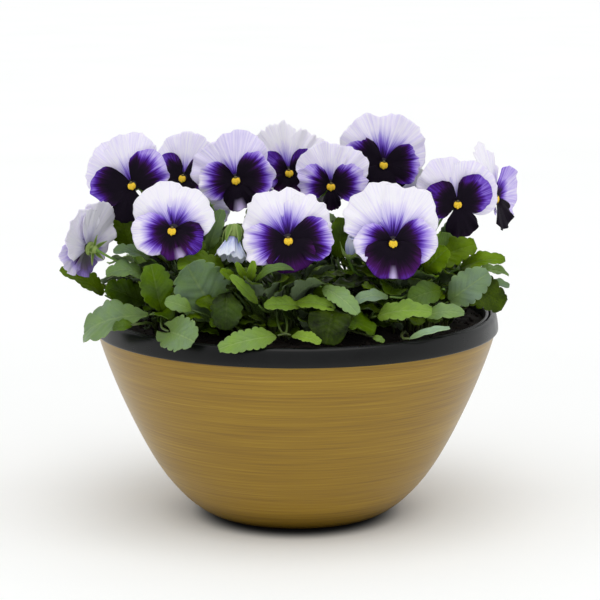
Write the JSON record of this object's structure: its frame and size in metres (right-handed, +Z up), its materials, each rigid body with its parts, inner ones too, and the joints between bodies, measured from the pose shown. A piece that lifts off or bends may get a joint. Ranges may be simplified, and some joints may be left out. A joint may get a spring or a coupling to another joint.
{
  "type": "potted pansy planter",
  "caption": "Wide round bowl planter with a black collar and inner pot, filled with soil and planted with violet and white pansies in flower.",
  "frame": {"origin": "centre of the bowl's flat base, on the surface it stands on", "axes": "+Z up, the front with most of the flowers towards -Y, +X to the right seen from the front"},
  "size_m": [0.3585, 0.3299, 0.3243],
  "materials": {
    "ochre_lacquer": "satin lacquer with fine horizontal streaks",
    "black_plastic": "satin",
    "potting_soil": "matte, crumbly",
    "stalk_green": "satin",
    "leaf_green": "satin",
    "petal_violet": "velvety matte",
    "bud_pale": "velvety matte"
  },
  "bodies": {
    "root": {"bloom_back": "petal_violet", "bloom_back_left": "petal_violet", "bloom_back_right": "petal_violet", "bloom_centre_behind": "petal_violet", "bloom_centre_left": "petal_violet", "bloom_centre_right": "petal_violet", "bloom_far_left": "petal_violet", "bloom_far_right": "petal_violet", "bloom_front": "petal_violet", "bloom_left_behind": "petal_violet", "bloom_left_front": "petal_violet", "bloom_left_high": "petal_violet", "bloom_right": "petal_violet", "bloom_right_front": "petal_violet", "bloom_top": "petal_violet", "bud_back": "bud_pale", "bud_nodding": "bud_pale", "bud_pale": "bud_pale", "inner_pot": "black_plastic", "leaf_across_rim": "leaf_green", "leaf_back_left": "leaf_green", "leaf_back_low": "leaf_green", "leaf_back_middle": "leaf_green", "leaf_back_right": "leaf_green", "leaf_centre_arching": "leaf_green", "leaf_centre_low": "leaf_green", "leaf_cupped": "leaf_green", "leaf_curled_edge": "leaf_green", "leaf_diagonal": "leaf_green", "leaf_far_left": "leaf_green", "leaf_hanging": "leaf_green", "leaf_lance": "leaf_green", "leaf_large_round": "leaf_green", "leaf_left_arched": "leaf_green", "leaf_left_dark": "leaf_green", "leaf_left_over_rim": "leaf_green", "leaf_left_shaded": "leaf_green", "leaf_left_strip": "leaf_green", "leaf_left_upright": "leaf_green", "leaf_narrow": "leaf_green", "leaf_pale_arch": "leaf_green", "leaf_right_dark": "leaf_green", "leaf_right_grey": "leaf_green", "leaf_right_high": "leaf_green", "leaf_right_low": "leaf_green", "leaf_right_oval": "leaf_green", "leaf_right_shaded": "leaf_green", "leaf_right_upper": "leaf_green", "leaf_right_wavy": "leaf_green", "leaf_round_over_rim": "leaf_green", "leaf_side_right": "leaf_green", "leaf_yellow_small": "leaf_green", "plant_back_left_stems": "stalk_green", "plant_back_right_stems": "stalk_green", "plant_front_stems": "stalk_green", "plant_left_stems": "stalk_green", "plant_right_stems": "stalk_green", "planter_bowl": "ochre_lacquer", "potting_soil": "potting_soil", "rim_collar": "black_plastic"}
  },
  "joints": []
}
